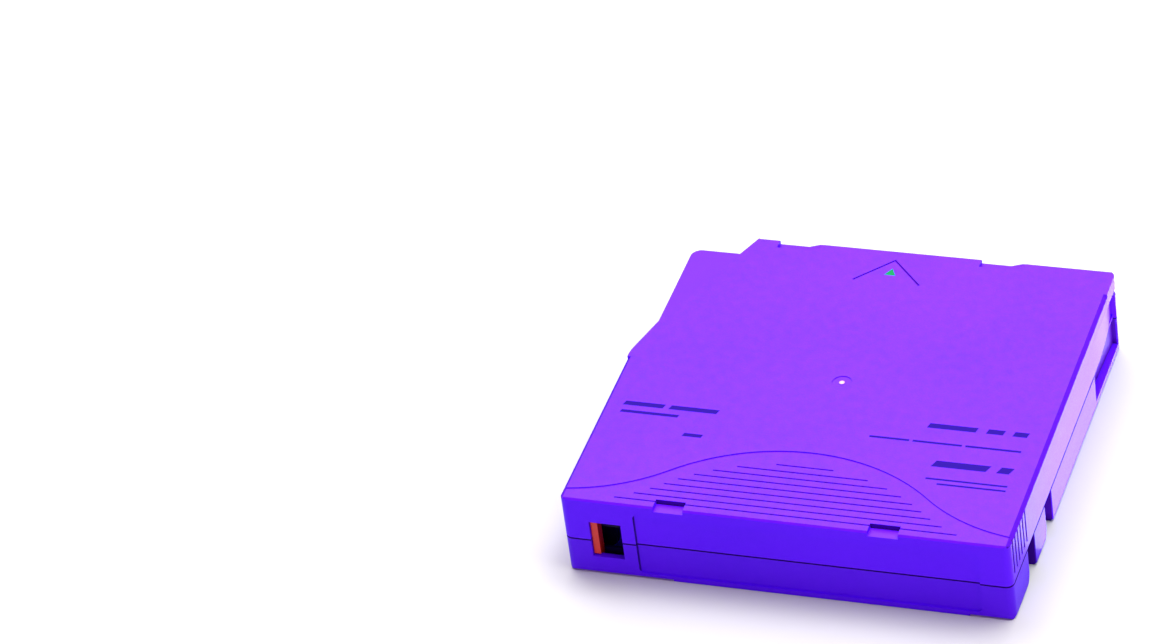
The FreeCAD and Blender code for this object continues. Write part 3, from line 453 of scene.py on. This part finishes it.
def printed(name, outlines, material):
    """Thin film of ink on the top, over plan outlines in millimetres."""
    pieces = []
    for outline in outlines:
        bpy.ops.object.select_all(action="DESELECT")
        bpy.ops.mesh.primitive_circle_add(vertices=len(outline), radius=MM, fill_type="NGON")
        piece = bpy.context.object
        for vertex, (x, y) in zip(piece.data.vertices, outline):
            vertex.co = Vector((x * MM, y * MM, top_z))
        pieces.append(piece)
    for piece in pieces:
        piece.select_set(True)
    bpy.context.view_layer.objects.active = pieces[0]
    if len(pieces) > 1:
        bpy.ops.object.join()
    film = bpy.context.view_layer.objects.active
    film.name = name
    alone(film)
    bpy.ops.object.mode_set(mode="EDIT")
    bpy.ops.mesh.select_all(action="SELECT")
    bpy.ops.mesh.normals_make_consistent(inside=False)
    bpy.ops.object.mode_set(mode="OBJECT")
    modified(film, "SOLIDIFY", thickness=ink_thickness * MM, offset=0.0)
    painted(film, material)
    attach(film, "case")
    return film


violet_ink = ink("violet_ink", (0.012, 0.0004, 0.16))
green_ink = ink("green_ink", (0.004, 0.16, 0.050))

printed("insertion_triangle", [[(-1.25, 41.4), (1.55, 41.4), (0.15, 44.0)]], green_ink)

# Plain bars: left and right end, near and far edge, lean.
left_lines = [
    bar(-48.3, -38.6, -16.2, -14.7, 0.5),
    bar(-37.2, -25.6, -16.2, -14.7, 0.5),
    bar(-48.2, -34.2, -18.9, -17.9, 0.3),
    bar(-31.2, -26.6, -25.2, -24.0, 0.3),
]
printed("left_print", left_lines, violet_ink)

right_lines = [
    bar(23.8, 35.2, -13.0, -11.3, 0.4),
    bar(37.6, 41.6, -13.0, -11.3, 0.4),
    bar(43.8, 47.2, -13.0, -11.3, 0.4),
    bar(11.6, 21.0, -18.5, -17.8),
    bar(21.8, 33.4, -18.5, -17.8),
    bar(34.2, 47.2, -18.5, -17.8),
    bar(28.2, 41.0, -26.4, -24.2, 0.9),
    bar(43.4, 46.4, -26.4, -24.2, 0.9),
    bar(28.2, 47.2, -31.0, -30.4),
    bar(31.2, 47.2, -32.6, -32.0),
]
printed("right_print", right_lines, violet_ink)

# ---- floor, light and camera -----------------------------------------------------------------------
bpy.ops.object.select_all(action="DESELECT")
bpy.ops.mesh.primitive_plane_add(size=floor_size, location=(0, 0, cad_box[0][2] - floor_gap))
floor = bpy.context.object
floor.name = "floor"
floor_finish = Finish("floor_paper")
floor_finish.set(Roughness=0.9, Base_Color=(0.46, 0.46, 0.46, 1))
painted(floor, floor_finish.material)


def soft_box(name, place, target, size, power, colour=(1, 1, 1)):
    """Square studio light that looks at a point."""
    lamp = bpy.data.lights.new(name, "AREA")
    lamp.shape = "SQUARE"
    lamp.size = size
    lamp.energy = power
    lamp.color = colour
    holder = bpy.data.objects.new(name, lamp)
    bpy.context.scene.collection.objects.link(holder)
    holder.location = place
    holder.rotation_euler = (Vector(target) - Vector(place)).to_track_quat("-Z", "Y").to_euler()
    return holder


soft_box("back_light", (-0.27, 0.63, 1.10), (0, 0, 0), 1.3, 35)
soft_box("top_light", (0.42, 0.08, 0.95), (0, 0, 0), 0.7, 14)
soft_box("front_light", (-0.2, -1.2, 0.5), (0, 0, 0), 0.7, 6.0, (0.8, 0.24, 1.0))
card = soft_box("right_card", (0.2129, 0.134, 0.0003), (0.2129, 0.134, 1.0), 0.32, 1.35)
card.visible_camera = False

world = bpy.data.worlds.new("studio")
world.use_nodes = True
world.node_tree.nodes["Background"].inputs["Color"].default_value = (1, 1, 1, 1)
world.node_tree.nodes["Background"].inputs["Strength"].default_value = 0.22
bpy.context.scene.world = world

# The camera's place and axes in metres, and its sensor and lens in millimetres.
camera_place = (0.3327, -0.9329, 0.7897)
camera_right = (0.9453, 0.3045, -0.1174)
camera_back = (0.3119, -0.7373, 0.5992)
camera_data = bpy.data.cameras.new("camera")
camera_data.sensor_width = 36.0
camera_data.lens = 167.53
camera_data.clip_start = 0.01
camera = bpy.data.objects.new("camera", camera_data)
bpy.context.scene.collection.objects.link(camera)
right = Vector(camera_right).normalized()
back = Vector(camera_back).normalized()
up = back.cross(right)
right = up.cross(back)
turn = Matrix((right, up, back)).transposed()
camera.matrix_world = Matrix.Translation(camera_place) @ turn.to_4x4()
bpy.context.scene.camera = camera
bpy.context.scene.view_settings.view_transform = "Standard"
bpy.context.scene.view_settings.look = "None"
